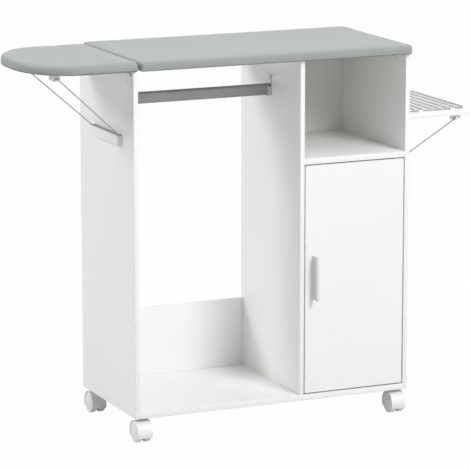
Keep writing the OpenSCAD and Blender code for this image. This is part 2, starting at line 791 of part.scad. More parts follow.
module door() in_frame() color("white") difference() {
    translate([door_x0, 0, door_z0]) cube([door_x1 - door_x0, door_t, door_z1 - door_z0]);
    translate([pivot_x, pivot_inset, door_z0 - 1]) cylinder(d = bush_d + 0.1, h = bush_l + 1.5);
    translate([pivot_x, pivot_inset, door_z1 - bush_l - 0.5]) cylinder(d = bush_d + 0.1, h = bush_l + 1.5);
    at_handle_screws() translate([0, 0, -1]) cylinder(d = 4.2, h = door_t + 2);
    at_strike_screw() pilot();
}

module door_bushes() in_frame() color("white") {
    for (z = [door_z0, door_z1 - bush_l]) translate([pivot_x, pivot_inset, z]) difference() {
        cylinder(d = bush_d, h = bush_l);
        translate([0, 0, -1]) cylinder(d = pivot_d + 2 * pin_clear, h = bush_l + 2);
    }
}

module door_pivot_pins() in_frame() color("silver") {
    translate([pivot_x, pivot_inset, board_t - 7.5]) cylinder(d = pivot_d, h = 7.5 + door_gap + bush_l - 1);
    translate([pivot_x, pivot_inset, door_z1 - bush_l + 1]) cylinder(d = pivot_d, h = 7.5 + door_gap + bush_l - 1);
}

handle_x = door_x0 + handle_from_edge;
handle_post = 10;

module at_handle_screws() for (side = [-1, 1])
    translate([handle_x, 0, handle_z + side * (handle_l - handle_post) / 2]) rotate([-90, 0, 0]) children();

module rounded_rect(w, h, r) {
    translate([r, 0]) square([w - 2 * r, h]);
    translate([0, r]) square([w, h - 2 * r]);
    for (x = [r, w - r]) for (y = [r, h - r]) translate([x, y]) circle(r);
}

module door_handle() in_frame() color("gray") difference() {
    translate([handle_x + handle_w / 2, 0, handle_z - handle_l / 2]) rotate([0, -90, 0])
        linear_extrude(handle_w) mirror([0, 1]) difference() {
            union() {
                rounded_rect(handle_l, handle_out, 5);
                square([handle_l, 6]);
            }
            translate([handle_post, -3]) rounded_rect(handle_l - 2 * handle_post, handle_out - handle_grip + 3, 3);
        }
    at_handle_screws() translate([0, 0, -12]) cylinder(d = 4.1, h = 13);
}

module door_screws() in_frame() color("silver") {
    at_handle_screws() {
        translate([0, 0, -11]) cylinder(d = 4, h = door_t + 11);
        translate([0, 0, door_t]) cylinder(d1 = 8, d2 = 6, h = 2);
    }
    at_strike_screw() wood_screw();
}

// Magnetic catch under the fixed shelf and its strike plate on the door

catch_x = divider_right + catch_side;

module at_catch_screws() for (side = [-1, 1])
    translate([catch_x + side * 17, door_t + 14, shelf_z - 3]) mirror([0, 0, 1]) children();

module magnetic_catch() in_frame() color("white") difference() {
    union() {
        translate([catch_x - 11, door_t + 1.5, shelf_z - 13]) cube([22, 18, 13]);
        translate([catch_x - 22, door_t + 7, shelf_z - 3]) cube([44, 13, 3]);
    }
    at_catch_screws() translate([0, 0, -9]) cylinder(d = screw_d + 0.4, h = 10);
}

module at_strike_screw() translate([catch_x, door_t + 1, shelf_z - 20]) rotate([-90, 0, 0]) children();

module strike_plate() in_frame() color("silver") difference() {
    translate([catch_x - 8, door_t, shelf_z - 26]) cube([16, 1, 20]);
    translate([catch_x, door_t - 1, shelf_z - 20]) rotate([-90, 0, 0]) cylinder(d = screw_d + 0.4, h = 3);
}

// Hanging rail of oval tube in two cradles

module oval(w, h) {
    square([w, h - w], center = true);
    for (s = [-1, 1]) translate([0, s * (h - w) / 2]) circle(d = w);
}

rail_end_gap = 1;
rail_z = panel_h - rail_drop;

module along_x(x0, length) translate([x0, mid_y, rail_z]) rotate([90, 0, 90]) linear_extrude(length) children();

module hanging_rail() in_frame() color("silver")
    along_x(upright_t + rail_end_gap + 3, hang_w - 2 * rail_end_gap - 6) difference() {
        oval(rail_w, rail_h);
        oval(rail_w - 2 * rail_wall, rail_h - 2 * rail_wall);
    }

module cradle_outline() {
    oval(rail_w + 2 * bracket_wall + 0.6, rail_h + 2 * bracket_wall + 0.6);
    translate([0, rail_h / 2 + bracket_lug / 2 - 4]) square([rail_w, bracket_lug + 8 - rail_w], center = true);
    translate([0, rail_h / 2 + bracket_lug - rail_w / 2]) circle(d = rail_w);
}

module cradle() {
    linear_extrude(3) cradle_outline();
    linear_extrude(bracket_l) difference() {
        oval(rail_w + 2 * bracket_wall + 0.6, rail_h + 2 * bracket_wall + 0.6);
        oval(rail_w + 0.6, rail_h + 0.6);
        translate([-rail_w, rail_h / 4]) square([2 * rail_w, rail_h]);
    }
}

module rail_brackets() in_frame() color("silver") difference() {
    union() {
        translate([upright_t, mid_y, rail_z]) rotate([90, 0, 90]) cradle();
        translate([divider_x, mid_y, rail_z]) mirror([1, 0, 0]) rotate([90, 0, 90]) cradle();
    }
    at_bracket_screw(upright_t, 1) translate([0, 0, -9]) cylinder(d = screw_d + 0.4, h = 12);
    at_bracket_screw(divider_x, -1) translate([0, 0, -9]) cylinder(d = screw_d + 0.4, h = 12);
}

module at_bracket_screw(x, side)
    translate([x + side * 3, mid_y, rail_z + rail_h / 2 + bracket_lug - rail_w / 2])
        rotate([0, side * 90, 0]) children();

// Castors: plate, swivelling hood, axle and two wheels

axle_z = wheel_d / 2 - castor_h;
hood_r = wheel_d / 2 + wheel_gap + hood_t;
wheel_w = (castor_w - hood_web) / 2 - 0.8;
boss_h = 3;
swivel_gap = 0.3;
neck_top = -plate_t - boss_h - swivel_gap;
neck_d = 15;

castors = [
    [castor_inset_x, castor_inset_y, -1],
    [cabinet_w - castor_inset_x, castor_inset_y, -1],
    [castor_inset_x, cabinet_d - castor_inset_y, 1],
    [cabinet_w - castor_inset_x, cabinet_d - castor_inset_y, 1],
];

module at_castors() for (c = castors) translate([c[0], c[1], 0]) children();

module at_plate_screws() for (x = [-10, 10]) for (y = [-13.5, 13.5])
    translate([x, y, -plate_t]) mirror([0, 0, 1]) children();

module castor_plates() in_frame() color("silver") at_castors() difference() {
    union() {
        translate([-plate_w / 2, -plate_l / 2, -plate_t]) cube([plate_w, plate_l, plate_t]);
        translate([0, 0, -plate_t - boss_h]) cylinder(d = kingpin_d + 6, h = boss_h + eps);
    }
    translate([0, 0, -20]) cylinder(d = kingpin_d + 2 * pin_clear, h = 30);
    at_plate_screws() translate([0, 0, -8]) cylinder(d = screw_d + 0.4, h = 12);
}

// Local origin on the swivel axis; the wheels trail towards the sign of trail_side
module hood(trail_side) {
    translate([0, 0, neck_top - 1]) cylinder(d = kingpin_d, h = 1 - neck_top - swivel_gap);
    difference() {
        union() {
            translate([0, trail_side * castor_trail, axle_z]) rotate([0, 90, 0])
                cylinder(r = hood_r, h = castor_w, center = true, $fn = 72);
            translate([0, 0, axle_z]) cylinder(d = neck_d, h = neck_top - axle_z);
        }
        for (side = [-1, 1])
            translate([side * (hood_web / 2 + castor_w / 2), trail_side * castor_trail, axle_z])
                rotate([0, 90, 0]) cylinder(r = wheel_d / 2 + wheel_gap, h = castor_w, center = true, $fn = 72);
        translate([-castor_w, -hood_r - 20, axle_z - 13.5 - hood_r])
            cube([2 * castor_w, 2 * hood_r + 40, hood_r]);
        translate([0, trail_side * castor_trail, axle_z]) rotate([0, 90, 0])
            cylinder(d = axle_d + 0.04, h = castor_w, center = true);
    }
}

module axle(trail_side) translate([0, trail_side * castor_trail, axle_z]) rotate([0, 90, 0])
    cylinder(d = axle_d, h = castor_w - 8, center = true);

module wheel(trail_side, side) {
    r = wheel_d / 2;
    w = wheel_w;
    bore = axle_d / 2 + pin_clear;
    translate([side * (hood_web / 2 + 0.5), trail_side * castor_trail, axle_z]) rotate([0, side * 90, 0])
        rotate_extrude($fn = 72) polygon([
            [bore, 0], [r - 1.5, 0], [r, 1.5], [r, w - 3], [r - 1, w - 1.2], [r - 3, w],
            [r - 5.5, w], [r - 6.3, w - 0.8], [r - 7.5, w - 0.8], [r - 8.5, w - 0.2], [0, w],
            [0, w - 2.5], [bore, w - 2.5],
        ]);
}

module castor_piece(index) in_frame() translate([castors[index][0], castors[index][1], 0]) children();

module castor_hood(index) color("white") castor_piece(index) hood(castors[index][2]);
module castor_axle(index) color("silver") castor_piece(index) axle(castors[index][2]);
module castor_wheel(index, side) color("white") castor_piece(index) wheel(castors[index][2], side);

// Wood screws, one node for each body

module cabinet_screws() in_frame() color("silver") {
    at_left_leaf_screws() wood_screw();
    at_right_leaf_screws() wood_screw();
    at_ledge_screws(0, left_ledge_z, 1) long_screw();
    at_ledge_screws(cabinet_w, right_ledge_z, -1) long_screw();
    at_block_screws(upright_t, 1) wood_screw();
    at_block_screws(divider_right, 1) wood_screw();
    at_block_screws(right_inner, -1) wood_screw();
    at_block_top_screws() wood_screw();
    at_bracket_screw(upright_t, 1) wood_screw();
    at_bracket_screw(divider_x, -1) wood_screw();
    at_catch_screws() wood_screw();
    at_castors() at_plate_screws() wood_screw();
}

module extension_screws() in_frame() color("silver") {
    at_wing_leaf_screws() wood_screw();
    at_left_clips() at_clip_screws() wood_screw();
}

module iron_shelf_screws() in_frame() color("silver") {
    at_iron_leaf_screws() wood_screw();
    at_right_clips() at_clip_screws() wood_screw();
}

left_side_panel();
middle_panel();
right_side_panel();
bottom_panel();
fixed_shelf();
back_panel();
low_back_board();
main_board();
main_pad();
inner_shelf();
shelf_pins();
hanging_rail();
rail_brackets();
corner_blocks();
cam_locks();
left_stay_ledge();
right_stay_ledge();
extension_hinge_fixed_leaves();
iron_shelf_hinge_fixed_leaves();
cabinet_screws();
door_pivot_pins();
magnetic_catch();
castor_plates();
extension_board();
extension_pad();
extension_hinge_moving_leaves();
extension_hinge_pins();
extension_clips();
extension_screws();
left_stay();
iron_shelf();
iron_rest();
iron_rest_saddles();
iron_shelf_hinge_moving_leaves();
iron_shelf_hinge_pins();
iron_shelf_clips();
iron_shelf_screws();
right_stay();
door();
door_handle();
door_bushes();
strike_plate();
door_screws();
castor_hood(0);  // castor_front_left_hood
castor_axle(0);  // castor_front_left_axle
castor_wheel(0, -1);  // castor_front_left_outer_wheel
castor_wheel(0, 1);  // castor_front_left_inner_wheel
castor_hood(1);  // castor_front_right_hood
castor_axle(1);  // castor_front_right_axle
castor_wheel(1, 1);  // castor_front_right_outer_wheel
castor_wheel(1, -1);  // castor_front_right_inner_wheel
castor_hood(2);  // castor_back_left_hood
castor_axle(2);  // castor_back_left_axle
castor_wheel(2, -1);  // castor_back_left_outer_wheel
castor_wheel(2, 1);  // castor_back_left_inner_wheel
castor_hood(3);  // castor_back_right_hood
castor_axle(3);  // castor_back_right_axle
castor_wheel(3, 1);  // castor_back_right_outer_wheel
castor_wheel(3, -1);  // castor_back_right_inner_wheel
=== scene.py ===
"""An ironing board cabinet on castors, dressed as photographed, in the order of its assembly."""
import json
import math

import bmesh
import bpy
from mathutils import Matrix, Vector

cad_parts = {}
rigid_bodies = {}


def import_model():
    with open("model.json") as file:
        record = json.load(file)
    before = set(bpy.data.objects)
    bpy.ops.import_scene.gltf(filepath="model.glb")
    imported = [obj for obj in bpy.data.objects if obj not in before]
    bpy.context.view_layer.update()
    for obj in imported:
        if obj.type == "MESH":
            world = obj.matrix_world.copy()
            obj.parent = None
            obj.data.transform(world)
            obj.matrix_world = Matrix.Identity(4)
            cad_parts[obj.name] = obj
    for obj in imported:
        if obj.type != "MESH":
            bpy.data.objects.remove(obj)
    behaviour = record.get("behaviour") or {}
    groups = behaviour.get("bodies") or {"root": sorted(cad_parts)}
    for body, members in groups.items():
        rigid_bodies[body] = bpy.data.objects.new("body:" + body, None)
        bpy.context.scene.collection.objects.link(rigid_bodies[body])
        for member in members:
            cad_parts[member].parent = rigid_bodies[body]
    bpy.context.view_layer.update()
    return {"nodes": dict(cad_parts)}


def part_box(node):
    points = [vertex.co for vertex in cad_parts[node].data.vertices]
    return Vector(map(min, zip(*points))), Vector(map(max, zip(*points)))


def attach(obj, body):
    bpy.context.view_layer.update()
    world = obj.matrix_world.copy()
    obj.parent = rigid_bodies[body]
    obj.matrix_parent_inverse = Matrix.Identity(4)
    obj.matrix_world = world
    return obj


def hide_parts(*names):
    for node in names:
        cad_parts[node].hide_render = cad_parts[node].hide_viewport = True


for leftover in list(bpy.data.objects):
    bpy.data.objects.remove(leftover)

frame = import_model()
scene = bpy.context.scene

# Camera
# The photograph looks at the cabinet's left front from a little above the worktop, through a long
# lens, so that upright edges stay nearly parallel.
camera = bpy.data.objects.new("camera", bpy.data.cameras.new("camera"))
scene.collection.objects.link(camera)
scene.camera = camera
camera.data.sensor_width = 36
camera.data.lens = 225.9
camera.data.clip_end = 100
camera.location = (-2.9914, -6.7025, 1.9889)
camera.rotation_euler = (math.radians(90 - 11.72), 0, math.radians(-23.99))


# Studio
# A white floor that carries a faint shadow and runs into a white surround. A wide soft box hangs
# overhead, the key light stands high at the right front, and another one stands behind on the left.
white = (1, 1, 1, 1)


def shade(red, green, blue):
    """A colour read on a screen, 0 to 255, as the light that it stands for."""
    parts = [c / 255 for c in (red, green, blue)]
    return tuple(c / 12.92 if c < 0.04045 else ((c + 0.055) / 1.055) ** 2.4 for c in parts) + (1,)


class Value:
    """A number or colour on its way through a graph. Sums and products of it add Math nodes."""

    def __init__(self, graph, socket):
        self.graph, self.socket = graph, socket

    def worked(self, operation, *others):
        terms = dict(enumerate((self, *others)))
        return self.graph.node("ShaderNodeMath", {"operation": operation}, terms)

    def __add__(self, other):
        return self.worked("ADD", other)

    def __sub__(self, other):
        return self.worked("SUBTRACT", other)

    def __rsub__(self, other):
        return self.worked("MULTIPLY_ADD", -1.0, other)

    def __mul__(self, other):
        return self.worked("MULTIPLY", other)

    def __abs__(self):
        return self.worked("ABSOLUTE")

    __radd__ = __add__
    __rmul__ = __mul__


class Graph:
    """A node tree that is written as expressions."""

    def node(self, kind, settings=None, inputs=None, output=0):
        made = self.tree.nodes.new(kind)
        for key, setting in (settings or {}).items():
            setattr(made, key, setting)
        for key, source in (inputs or {}).items():
            self.feed(made.inputs[key], source)
        return Value(self, made.outputs[output])

    def feed(self, socket, source):
        if isinstance(source, Value):
            self.tree.links.new(source.socket, socket)
        elif source is not None:
            socket.default_value = source


class Finish(Graph):
    """One material: a Principled shader whose fixed values are set when it is made."""

    def __init__(self, name, **fixed):
        self.material = bpy.data.materials.new(name)
        self.material.use_nodes = True
        self.tree = self.material.node_tree
        self.shader = self.tree.nodes["Principled BSDF"]
        for socket, number in fixed.items():
            self.shader.inputs[socket.replace("_", " ")].default_value = number
        self.place = self.node("ShaderNodeTexCoord", output="Object")

    def axes(self):
        split = {0: self.place}
        return [self.node("ShaderNodeSeparateXYZ", inputs=split, output=i) for i in range(3)]

    def stretched(self, x, y, z):
        """The place on the piece, with each direction drawn out or squeezed."""
        return self.node("ShaderNodeMapping", inputs={"Vector": self.place, "Scale": (x, y, z)})

    def noise(self, per_metre, detail=2, place=None):
        """Cloudy unevenness from 0 to 1, with so many clouds to a metre."""
        inputs = {"Vector": place or self.place, "Scale": per_metre, "Detail": detail}
        return self.node("ShaderNodeTexNoise", inputs=inputs)

    def rise(self, number, low, high):
        """0 below low and 1 above high, with a soft step between them."""
        inputs = {"Value": number, "From Min": low, "From Max": high}
        return self.node("ShaderNodeMapRange", {"interpolation_type": "SMOOTHSTEP"}, inputs)

    def mix(self, amount, first, second):
        inputs = {0: amount, 6: first, 7: second}
        return self.node("ShaderNodeMix", {"data_type": "RGBA"}, inputs, output=2)

    def coat(self, colour=None, roughness=None, relief=None, depth=0.0001):
        """Lays the colour, the gloss and the relief, whose depth is in metres, on the shader."""
        self.feed(self.shader.inputs["Base Color"], colour)
        self.feed(self.shader.inputs["Roughness"], roughness)
        if relief is not None:
            inputs = {"Height": relief, "Distance": depth, "Strength": 1.0}
            self.feed(self.shader.inputs["Normal"], self.node("ShaderNodeBump", inputs=inputs))
        return self.material


def shows_white(graph):
    """1 for what the camera sees straight, in a mirror or through glass."""
    ways = ("Is Camera Ray", "Is Glossy Ray", "Is Transmission Ray")
    straight, mirrored, through = (graph.node("ShaderNodeLightPath", output=way) for way in ways)
    return (straight + mirrored + through).worked("MINIMUM", 1.0)


def studio_floor():
    """Bounces soft light as a floor does, and shows white to the camera with a trace of shadow."""
    finish = Finish("studio_floor", Roughness=0.9)
    finish.coat(finish.mix(finish.noise(3, 1), shade(200, 200, 200), shade(206, 206, 206)))
    white_share = 0.98
    glow = finish.node("ShaderNodeEmission", inputs={"Color": white, "Strength": 1.0})
    lit = Value(finish, finish.shader.outputs[0])
    inputs = {0: shows_white(finish) * white_share, 1: lit, 2: glow}
    both = finish.node("ShaderNodeMixShader", inputs=inputs)
    finish.feed(finish.tree.nodes["Material Output"].inputs["Surface"], both)
    return finish.material


class Surround(Graph):
    """The studio's walls: white to look at, and a soft even light on the cabinet."""

    def __init__(self, strength):
        scene.world = bpy.data.worlds.new("surround")
        scene.world.use_nodes = True
        self.tree = scene.world.node_tree
        background = self.tree.nodes["Background"]
        background.inputs["Strength"].default_value = strength
        background.inputs["Color"].default_value = white
        soft = Value(self, background.outputs[0])
        plain = self.node("ShaderNodeBackground", inputs={"Color": white, "Strength": 1.0})
        both = self.node("ShaderNodeMixShader", inputs={0: shows_white(self), 1: soft, 2: plain})
        self.feed(self.tree.nodes["World Output"].inputs["Surface"], both)


def soft_box(name, place, aim, size, power):
    lamp = bpy.data.objects.new(name, bpy.data.lights.new(name, "AREA"))
    scene.collection.objects.link(lamp)
    lamp.data.shape, lamp.data.size, lamp.data.energy = "SQUARE", size, power
    lamp.location = place
    lamp.rotation_euler = (Vector(aim) - Vector(place)).to_track_quat("-Z", "Y").to_euler()


floor_reach = 40
floor_ways = ((-1, -1), (1, -1), (1, 1), (-1, 1))
floor_corners = [(x * floor_reach, y * floor_reach, 0) for x, y in floor_ways]
floor_mesh = bpy.data.meshes.new("floor")
floor_mesh.from_pydata(floor_corners, [], [(0, 1, 2, 3)])
floor_mesh.materials.append(studio_floor())
floor = bpy.data.objects.new("floor", floor_mesh)
scene.collection.objects.link(floor)

Surround(0.45)
soft_box("overhead", (0.4, -0.4, 4.2), (0, 0, 0.6), 3.5, 48)
soft_box("right_front", (1.4, -4.9, 4.0), (0, 0, 0.5), 1.7, 192)
soft_box("left_back", (-4.4, 3.0, 3.6), (0, 0, 0.6), 1.8, 142)
scene.view_settings.view_transform = "Standard"


# White boards
# The uprights, the bottom, the shelves, the door and the iron shelf are chipboard under white
# foil, with a glued band on the edges that show, eased by hand. Cam locks hold the carcass
# together, the inner shelf lies loose on its pegs, and the iron shelf and the door are hinged.
def dressed(node, mesh, body, material):
    """Puts a finished mesh in the place of a CAD node, on the same body."""
    piece = bpy.data.objects.new(node + "_finished", mesh)
    scene.collection.objects.link(piece)
    mesh.materials.clear()
    mesh.materials.append(material)
    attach(piece, body)
    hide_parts(node)


def smoothed(form, node, sharp):
    """The finished mesh of a form, smooth except where it turns by more than sharp degrees."""
    for face in form.faces:
        face.smooth = True
    mesh = bpy.data.meshes.new(node + "_finished")
    form.to_mesh(mesh)
    form.free()
    mesh.set_sharp_from_angle(angle=math.radians(sharp))
    return mesh


def eased(node, width, shortest):
    """A copy of the solid whose sharp edges, down to the shortest given, are rounded over."""
    form = bmesh.new()
    form.from_mesh(frame["nodes"][node].data)
    bmesh.ops.remove_doubles(form, verts=form.verts, dist=1e-6)
    flat, corner_angle = math.radians(0.4), math.radians(32)
    bmesh.ops.dissolve_limit(form, angle_limit=flat, verts=form.verts, edges=form.edges)
    long = [edge for edge in form.edges if edge.calc_length() > shortest]
    sharp = [edge for edge in long if edge.calc_face_angle(0) > corner_angle]
    if sharp:
        bmesh.ops.bevel(form, geom=sharp, offset=width, segments=3, profile=0.5, affect="EDGES")
    return smoothed(form, node, sharp=22)


def white_foil(node, banded):
    """White foil with a faint grain, a glue line beside each banded edge and rubbed corners."""
    foil = Finish(node + "_foil", IOR=1.46)
    low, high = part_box(node)
    band_thickness = 0.0011
    near_side = []
    glue = None
    for axis, place in enumerate(foil.axes()):
        from_low, from_high = abs(place - low[axis]), abs(place - high[axis])
        nearest = from_low.worked("MINIMUM", from_high)
        near_side.append(1 - foil.rise(nearest, 0.0004, 0.0016))
        for name, distance in (("xyz"[axis] + "-", from_low), ("xyz"[axis] + "+", from_high)):
            if name in banded:
                line = 1 - foil.rise(abs(distance - band_thickness), 0.0001, 0.0004)
                glue = line if glue is None else glue.worked("MAXIMUM", line)
    edge = near_side[0] + near_side[1] + near_side[2] - 1
    rubbed_wear_and_painted_shade = foil.rise(edge, 0.2, 1.0) * foil.rise(foil.noise(60, 3), 0.5, 0.7)
    slow = foil.noise(5, 2)
    grain = foil.noise(260, 3, foil.stretched(1, 1, 0.12))
    colour = foil.mix(slow, shade(243, 243, 242), shade(247, 247, 246))
    colour = foil.mix(grain * 0.12, colour, shade(226, 226, 225))
    colour = foil.mix(rubbed_wear_and_painted_shade * 0.5, colour, shade(205, 203, 198))
    if glue is not None:
        colour = foil.mix(glue * 0.5, colour, shade(188, 187, 183))
    rough = 0.36 + slow * 0.06 + grain * 0.05 + rubbed_wear_and_painted_shade * 0.2
    return foil.coat(colour, rough, grain + foil.noise(900, 1) * 0.4, 0.00004)


boards = {
    "left_side_panel": ("carcass", ("y-", "y+", "z+")),
    "middle_panel": ("carcass", ("y-", "y+")),
    "right_side_panel": ("carcass", ("y-", "y+", "z+")),
    "bottom_panel": ("carcass", ("y-", "y+")),
    "fixed_shelf": ("carcass", ("y-",)),
    "low_back_board": ("carcass", ("z+",)),
    "inner_shelf": ("carcass", ("y-",)),
    "iron_shelf": ("iron_leaf", ("y-", "y+", "x+", "x-")),
    "door": ("door_leaf", ("x-", "x+", "z-", "z+")),
}
for board, (body, banded) in boards.items():
    mesh = eased(board, width=0.0009, shortest=0.008)
    dressed(board, mesh, body, white_foil(board, banded))


# Back sheet
# A thin sheet of pressed fibre, lacquered white, closes the right column behind and squares it.
# It lies on the back edges of the middle and the right panel.
def fibre_sheet():
    sheet = Finish("fibre_sheet", IOR=1.45)
    specks = sheet.rise(sheet.noise(700, 4), 0.55, 0.75)
    clouds = sheet.noise(9, 3)
    colour = sheet.mix(clouds, shade(229, 228, 225), shade(236, 235, 232))
    colour = sheet.mix(specks * 0.3, colour, shade(205, 201, 192))
    return sheet.coat(colour, 0.5 + clouds * 0.12, sheet.noise(420, 4), 0.00008)


def paint(node, material):
    """Gives a CAD node that stays as it is its finish."""
    mesh = frame["nodes"][node].data
    mesh.materials.clear()
    mesh.materials.append(material)


paint("back_panel", fibre_sheet())


# Boards under the pads
# Pressed boards carry the pads and show only from below, where a thin pale foil keeps them from
# bowing. Their sawn edges are brown and lie under the covers. The worktop's is screwed to corner
# blocks on the uprights, the other one hangs on two hinges.
backing = 0.001


def backed_board(node):
    board = Finish(node + "_finish", IOR=1.4)
    chips = board.node("ShaderNodeTexVoronoi", inputs={"Vector": board.place, "Scale": 190.0})
    specks = board.noise(380, 3)
    coarse = board.rise(chips + specks * 0.4, 0.2, 0.9)
    sawn = board.mix(coarse, shade(205, 178, 138), shade(172, 141, 100))
    foil = board.mix(board.noise(6, 3), shade(226, 226, 223), shade(232, 232, 229))
    foil = board.mix(board.rise(specks, 0.6, 0.75) * 0.4, foil, shade(208, 206, 199))
    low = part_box(node)[0].z
    bare = board.rise(board.axes()[2], low + backing, low + 2 * backing)
    colour = board.mix(bare, foil, sawn)
    return board.coat(colour, 0.45 + specks * 0.15 + bare * 0.3, specks + chips * 0.5, 0.00008)


for board, body in (("main_board", "carcass"), ("extension_board", "extension_leaf")):
    mesh = eased(board, width=0.002, shortest=0.02)
    dressed(board, mesh, body, backed_board(board))


# Pads
# Thin foam under a grey cotton cover, pulled over the boards' edges, so that the top lies flat
# with a roll all round, tight on the worktop and full on the fold-out board, and a tucked hem.
# Where the two meet, their corners and rolls are tighter, so that they close up to a seam.
worktop_roll = 0.006
nose_roll = 0.013
pad_hem = 0.002
pad_crown = 0.001
crown_start = 0.05
pad_corner = 0.014
meeting_corner = 0.004
meeting_roll = 0.35
least_corner = 0.003
least_meeting_corner = 0.002
nose_length = 0.144
nose_fullness = 2.4
nose_steps = 72
board_inside_pad = 0.005
hem_steps = 4
roll_steps = 8
blank_slack = 0.0012
fill_pressure = 4
settling = 20
most_moved = 0.0016
underside = 0.003
tucked = 0.004
# The net of the worktop's cover is a little wider, which keeps it under 200,000 triangles.
worktop_voxel = 0.0052
nose_voxel = 0.005


def corner(centre_x, centre_y, radius, start, steps=10):
    """A quarter turn round a centre, from the start angle in degrees on."""
    turns = [math.radians(start + 90 * i / steps) for i in range(steps + 1)]
    return [(centre_x + radius * math.cos(t), centre_y + radius * math.sin(t)) for t in turns]


def worktop_outline(inset, meeting):
    """A round cornered oblong. The side where the pads meet has an inset of its own."""
    low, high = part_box("main_pad")
    x0, y0, x1, y1 = low.x + meeting, low.y + inset, high.x - inset, high.y - inset
    r = max(pad_corner - inset, least_corner)
    tight = max(meeting_corner - meeting, least_meeting_corner)
    ring = corner(x0 + tight, y0 + tight, tight, 180) + corner(x1 - r, y0 + r, r, 270)
    return ring + corner(x1 - r, y1 - r, r, 0) + corner(x0 + tight, y1 - tight, tight, 90)


def nose_outline(inset, meeting):
    """Straight sides and a full round nose, which runs from the back edge to the front one."""
    low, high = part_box("extension_pad")
    middle, half = (low.y + high.y) / 2, (high.y - low.y) / 2 - inset
    root, length = low.x + nose_length, nose_length - inset
    ring = []
    for i in range(nose_steps + 1):
        turn = math.radians(90 + 180 * i / nose_steps)
        across, along = math.sin(turn), abs(math.cos(turn))
        y = middle + half * math.copysign(abs(across) ** (2 / nose_fullness), across)
        ring.append((root - length * along ** (2 / nose_fullness), y))
    r = max(meeting_corner - meeting, least_meeting_corner)
    x = high.x - meeting - r
    return ring + corner(x, middle - half + r, r, 270) + corner(x, middle + half - r, r, 0)


def pad_blank(name, outline, node, roll):
    """The pad before it is filled: rings of its outline from hem to crown, a little small."""
    low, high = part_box(node)
    height = high.z - low.z
    hem_turns = [math.radians(90 * i / hem_steps) for i in range(hem_steps + 1)]
    roll_turns = [math.radians(90 * i / roll_steps) for i in range(roll_steps + 1)]
    levels = [(pad_hem * (1 - math.cos(t)), pad_hem * (1 - math.sin(t))) for t in hem_turns]
    shoulder = height - pad_crown
    levels += [(shoulder - roll * (1 - math.sin(t)), roll * (1 - math.cos(t))) for t in roll_turns]
    levels.append((height, crown_start))
    form = bmesh.new()
    rings = []
    for rise, inset in levels:
        z = low.z + min(rise, height - blank_slack)
        ring = outline(inset + blank_slack, inset * meeting_roll + blank_slack / 2)
        rings.append([form.verts.new((x, y, z)) for x, y in ring])
    for lower, upper in zip(rings, rings[1:]):
        for i in range(len(lower)):
            j = (i + 1) % len(lower)
            form.faces.new((lower[i], lower[j], upper[j], upper[i]))
    form.faces.new(rings[-1])
    form.faces.new(rings[0][::-1])
    bmesh.ops.recalc_face_normals(form, faces=form.faces)
    mesh = bpy.data.meshes.new(name)
    form.to_mesh(mesh)
    form.free()
    blank = bpy.data.objects.new(name, mesh)
    scene.collection.objects.link(blank)
    return blank


def inside(place, ring):
    """Whether a place lies inside a ring of points, seen from above."""
    crossings = 0
    for (x0, y0), (x1, y1) in zip(ring, ring[1:] + ring[:1]):
        if (y0 > place.y) != (y1 > place.y):
            crossings += place.x < x0 + (x1 - x0) * (place.y - y0) / (y1 - y0)
    return crossings % 2 == 1


def baked(piece):
    """Turns the piece's modifiers into plain mesh."""
    worked_out = piece.evaluated_get(bpy.context.evaluated_depsgraph_get())
    mesh = bpy.data.meshes.new_from_object(worked_out)
    piece.modifiers.clear()
    piece.data = mesh


def lay_on_board(mesh, node, ring):
    """Draws the underside down to a straight hem round its board, and up out of the board's way."""
    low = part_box(node)[0].z
    for vertex in mesh.vertices:
        if vertex.co.z < low + underside:
            vertex.co.z = low + tucked if inside(vertex.co, ring) else low


def filled_pad(name, outline, node, roll, voxel):
    """Fills the blank with soft pressure, keeps its points near and lays it on its board."""
    pad = pad_blank(name, outline, node, roll)
    remesh = pad.modifiers.new("remesh", "REMESH")
    remesh.mode, remesh.voxel_size = "VOXEL", voxel
    baked(pad)
    before = [v.co.copy() for v in pad.data.vertices]
    cloth = pad.modifiers.new("cloth", "CLOTH")
    cloth.settings.use_pressure = True
    cloth.settings.uniform_pressure_force = fill_pressure
    cloth.settings.effector_weights.gravity = 0
    cloth.point_cache.frame_start, cloth.point_cache.frame_end = 1, settling
    for step in range(1, settling + 1):
        scene.frame_set(step)
    baked(pad)
    scene.frame_set(1)
    for vertex, place in zip(pad.data.vertices, before):
        moved = vertex.co - place
        if moved.length > most_moved:
            vertex.co = place + moved * (most_moved / moved.length)
    well_inside, just_outside = board_inside_pad + 0.001, board_inside_pad - 0.0005
    lay_on_board(pad.data, node, outline(well_inside, well_inside))
    smooth = pad.modifiers.new("smooth", "SUBSURF")
    smooth.levels = smooth.render_levels = 1
    baked(pad)
    lay_on_board(pad.data, node, outline(just_outside, just_outside))
    pad.data.shade_smooth()
    return pad


def grey_cotton():
    """A plain weave of grey yarns, a little uneven, with a soft bloom and a few slubs."""
    cotton = Finish("grey_cotton", Sheen_Weight=0.25, Sheen_Roughness=0.5, IOR=1.4, Roughness=0.9)
    yarn = 0.0009
    x, y, z = ((axis * (2 * math.pi / yarn)).worked("SINE") for axis in cotton.axes())
    weave = (x + y + z) * 0.33
    slubs = cotton.rise(cotton.noise(45, 4, cotton.stretched(1, 14, 14)), 0.52, 0.74)
    cross = cotton.rise(cotton.noise(45, 4, cotton.stretched(14, 1, 14)), 0.52, 0.74)
    clouds = cotton.noise(4, 2)
    colour = cotton.mix(clouds, shade(159, 162, 162), shade(166, 169, 169))
    colour = cotton.mix(slubs * 0.25, colour, shade(181, 184, 184))
    colour = cotton.mix(cross * 0.22, colour, shade(142, 146, 145))
    colour = cotton.mix(weave * 0.08 + 0.06, colour, shade(124, 128, 127))
    return cotton.coat(colour, 0.86 + clouds * 0.1, weave + slubs * 0.5, 0.00012)


